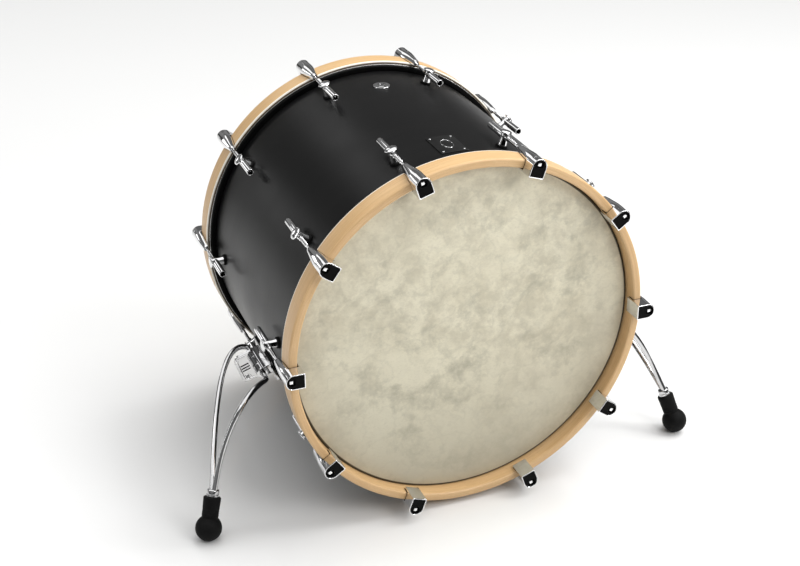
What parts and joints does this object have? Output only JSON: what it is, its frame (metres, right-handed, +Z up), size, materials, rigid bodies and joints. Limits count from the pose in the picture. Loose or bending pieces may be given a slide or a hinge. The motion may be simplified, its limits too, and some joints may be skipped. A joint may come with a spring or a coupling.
{
  "type": "bass drum",
  "caption": "Free-standing bass drum: black shell, natural wood hoops, claw hooks with tension rods, cream heads and folding spurs with rubber feet.",
  "frame": {"origin": "centre of the bounding box's base, on the floor", "axes": "+Z up; the front head faces -Y; +X is the right-hand side seen from the front; the drum axis is tilted 1.15 degrees about X, front end up"},
  "size_m": [0.8778, 0.5605, 0.5982],
  "materials": {
    "shell": "satin black stained ply",
    "hoop_wood": "satin clear-coated maple",
    "head_film": "mottled cream film with an aluminium rim",
    "chrome": "polished",
    "badge": "plain black plate",
    "rubber": "matt moulded"
  },
  "bodies": {
    "drum": {"air_vent": "chrome", "badge_plate": "badge", "claw_front_01": "chrome", "claw_front_02": "chrome", "claw_front_03": "chrome", "claw_front_04": "chrome", "claw_front_05": "chrome", "claw_front_06": "chrome", "claw_front_07": "chrome", "claw_front_08": "chrome", "claw_front_09": "chrome", "claw_front_10": "chrome", "claw_rear_01": "chrome", "claw_rear_02": "chrome", "claw_rear_03": "chrome", "claw_rear_04": "chrome", "claw_rear_05": "chrome", "claw_rear_06": "chrome", "claw_rear_07": "chrome", "claw_rear_08": "chrome", "claw_rear_09": "chrome", "claw_rear_10": "chrome", "head_front": "head_film", "head_rear": "head_film", "hoop_front": "hoop_wood", "hoop_rear": "hoop_wood", "lug_front_01": "chrome", "lug_front_02": "chrome", "lug_front_03": "chrome", "lug_front_04": "chrome", "lug_front_05": "chrome", "lug_front_06": "chrome", "lug_front_07": "chrome", "lug_front_08": "chrome", "lug_front_09": "chrome", "lug_front_10": "chrome", "lug_rear_01": "chrome", "lug_rear_02": "chrome", "lug_rear_03": "chrome", "lug_rear_04": "chrome", "lug_rear_05": "chrome", "lug_rear_06": "chrome", "lug_rear_07": "chrome", "lug_rear_08": "chrome", "lug_rear_09": "chrome", "lug_rear_10": "chrome", "shell": "shell", "spur_bracket_left": "chrome", "spur_bracket_right": "chrome", "spur_gasket_left": "rubber", "spur_gasket_right": "rubber"},
    "spur_leg_left": {"spur_leg_left": "chrome"},
    "spur_foot_left": {"spur_foot_left": "rubber"},
    "spur_lock_ring_left": {"spur_lock_ring_left": "chrome"},
    "spur_lock_screw_left": {"spur_lock_screw_left": "chrome"},
    "spur_leg_right": {"spur_leg_right": "chrome"},
    "spur_foot_right": {"spur_foot_right": "rubber"},
    "spur_lock_ring_right": {"spur_lock_ring_right": "chrome"},
    "spur_lock_screw_right": {"spur_lock_screw_right": "chrome"}
  },
  "joints": [
    {"name": "spur_fold_left", "type": "hinge", "parent": "drum", "child": "spur_leg_left", "pos_m": [-0.2846, -0.0388, 0.20195], "axis": [0, -0.9998, 0.02], "range_deg": [0, 74]},
    {"name": "foot_turn_left", "type": "hinge", "parent": "spur_leg_left", "child": "spur_foot_left", "pos_m": [-0.4179, -0.19825, 0.021], "axis": [0.2669, 0.3424, 0.9009], "continuous": true},
    {"name": "lock_ring_turn_left", "type": "hinge", "parent": "spur_leg_left", "child": "spur_lock_ring_left", "pos_m": [-0.40464, -0.18124, 0.06577], "axis": [0.2669, 0.3424, 0.9009], "continuous": true},
    {"name": "lock_screw_turn_left", "type": "hinge", "parent": "drum", "child": "spur_lock_screw_left", "pos_m": [-0.3017, -0.04472, 0.18106], "axis": [0, 0.9998, -0.02], "continuous": true},
    {"name": "spur_fold_right", "type": "hinge", "parent": "drum", "child": "spur_leg_right", "pos_m": [0.2846, -0.0388, 0.20195], "axis": [0, 0.9998, -0.02], "range_deg": [0, 74]},
    {"name": "foot_turn_right", "type": "hinge", "parent": "spur_leg_right", "child": "spur_foot_right", "pos_m": [0.4179, -0.19825, 0.021], "axis": [-0.2669, 0.3424, 0.9009], "continuous": true},
    {"name": "lock_ring_turn_right", "type": "hinge", "parent": "spur_leg_right", "child": "spur_lock_ring_right", "pos_m": [0.40464, -0.18124, 0.06577], "axis": [-0.2669, 0.3424, 0.9009], "continuous": true},
    {"name": "lock_screw_turn_right", "type": "hinge", "parent": "drum", "child": "spur_lock_screw_right", "pos_m": [0.3017, -0.04472, 0.18106], "axis": [0, 0.9998, -0.02], "continuous": true}
  ]
}
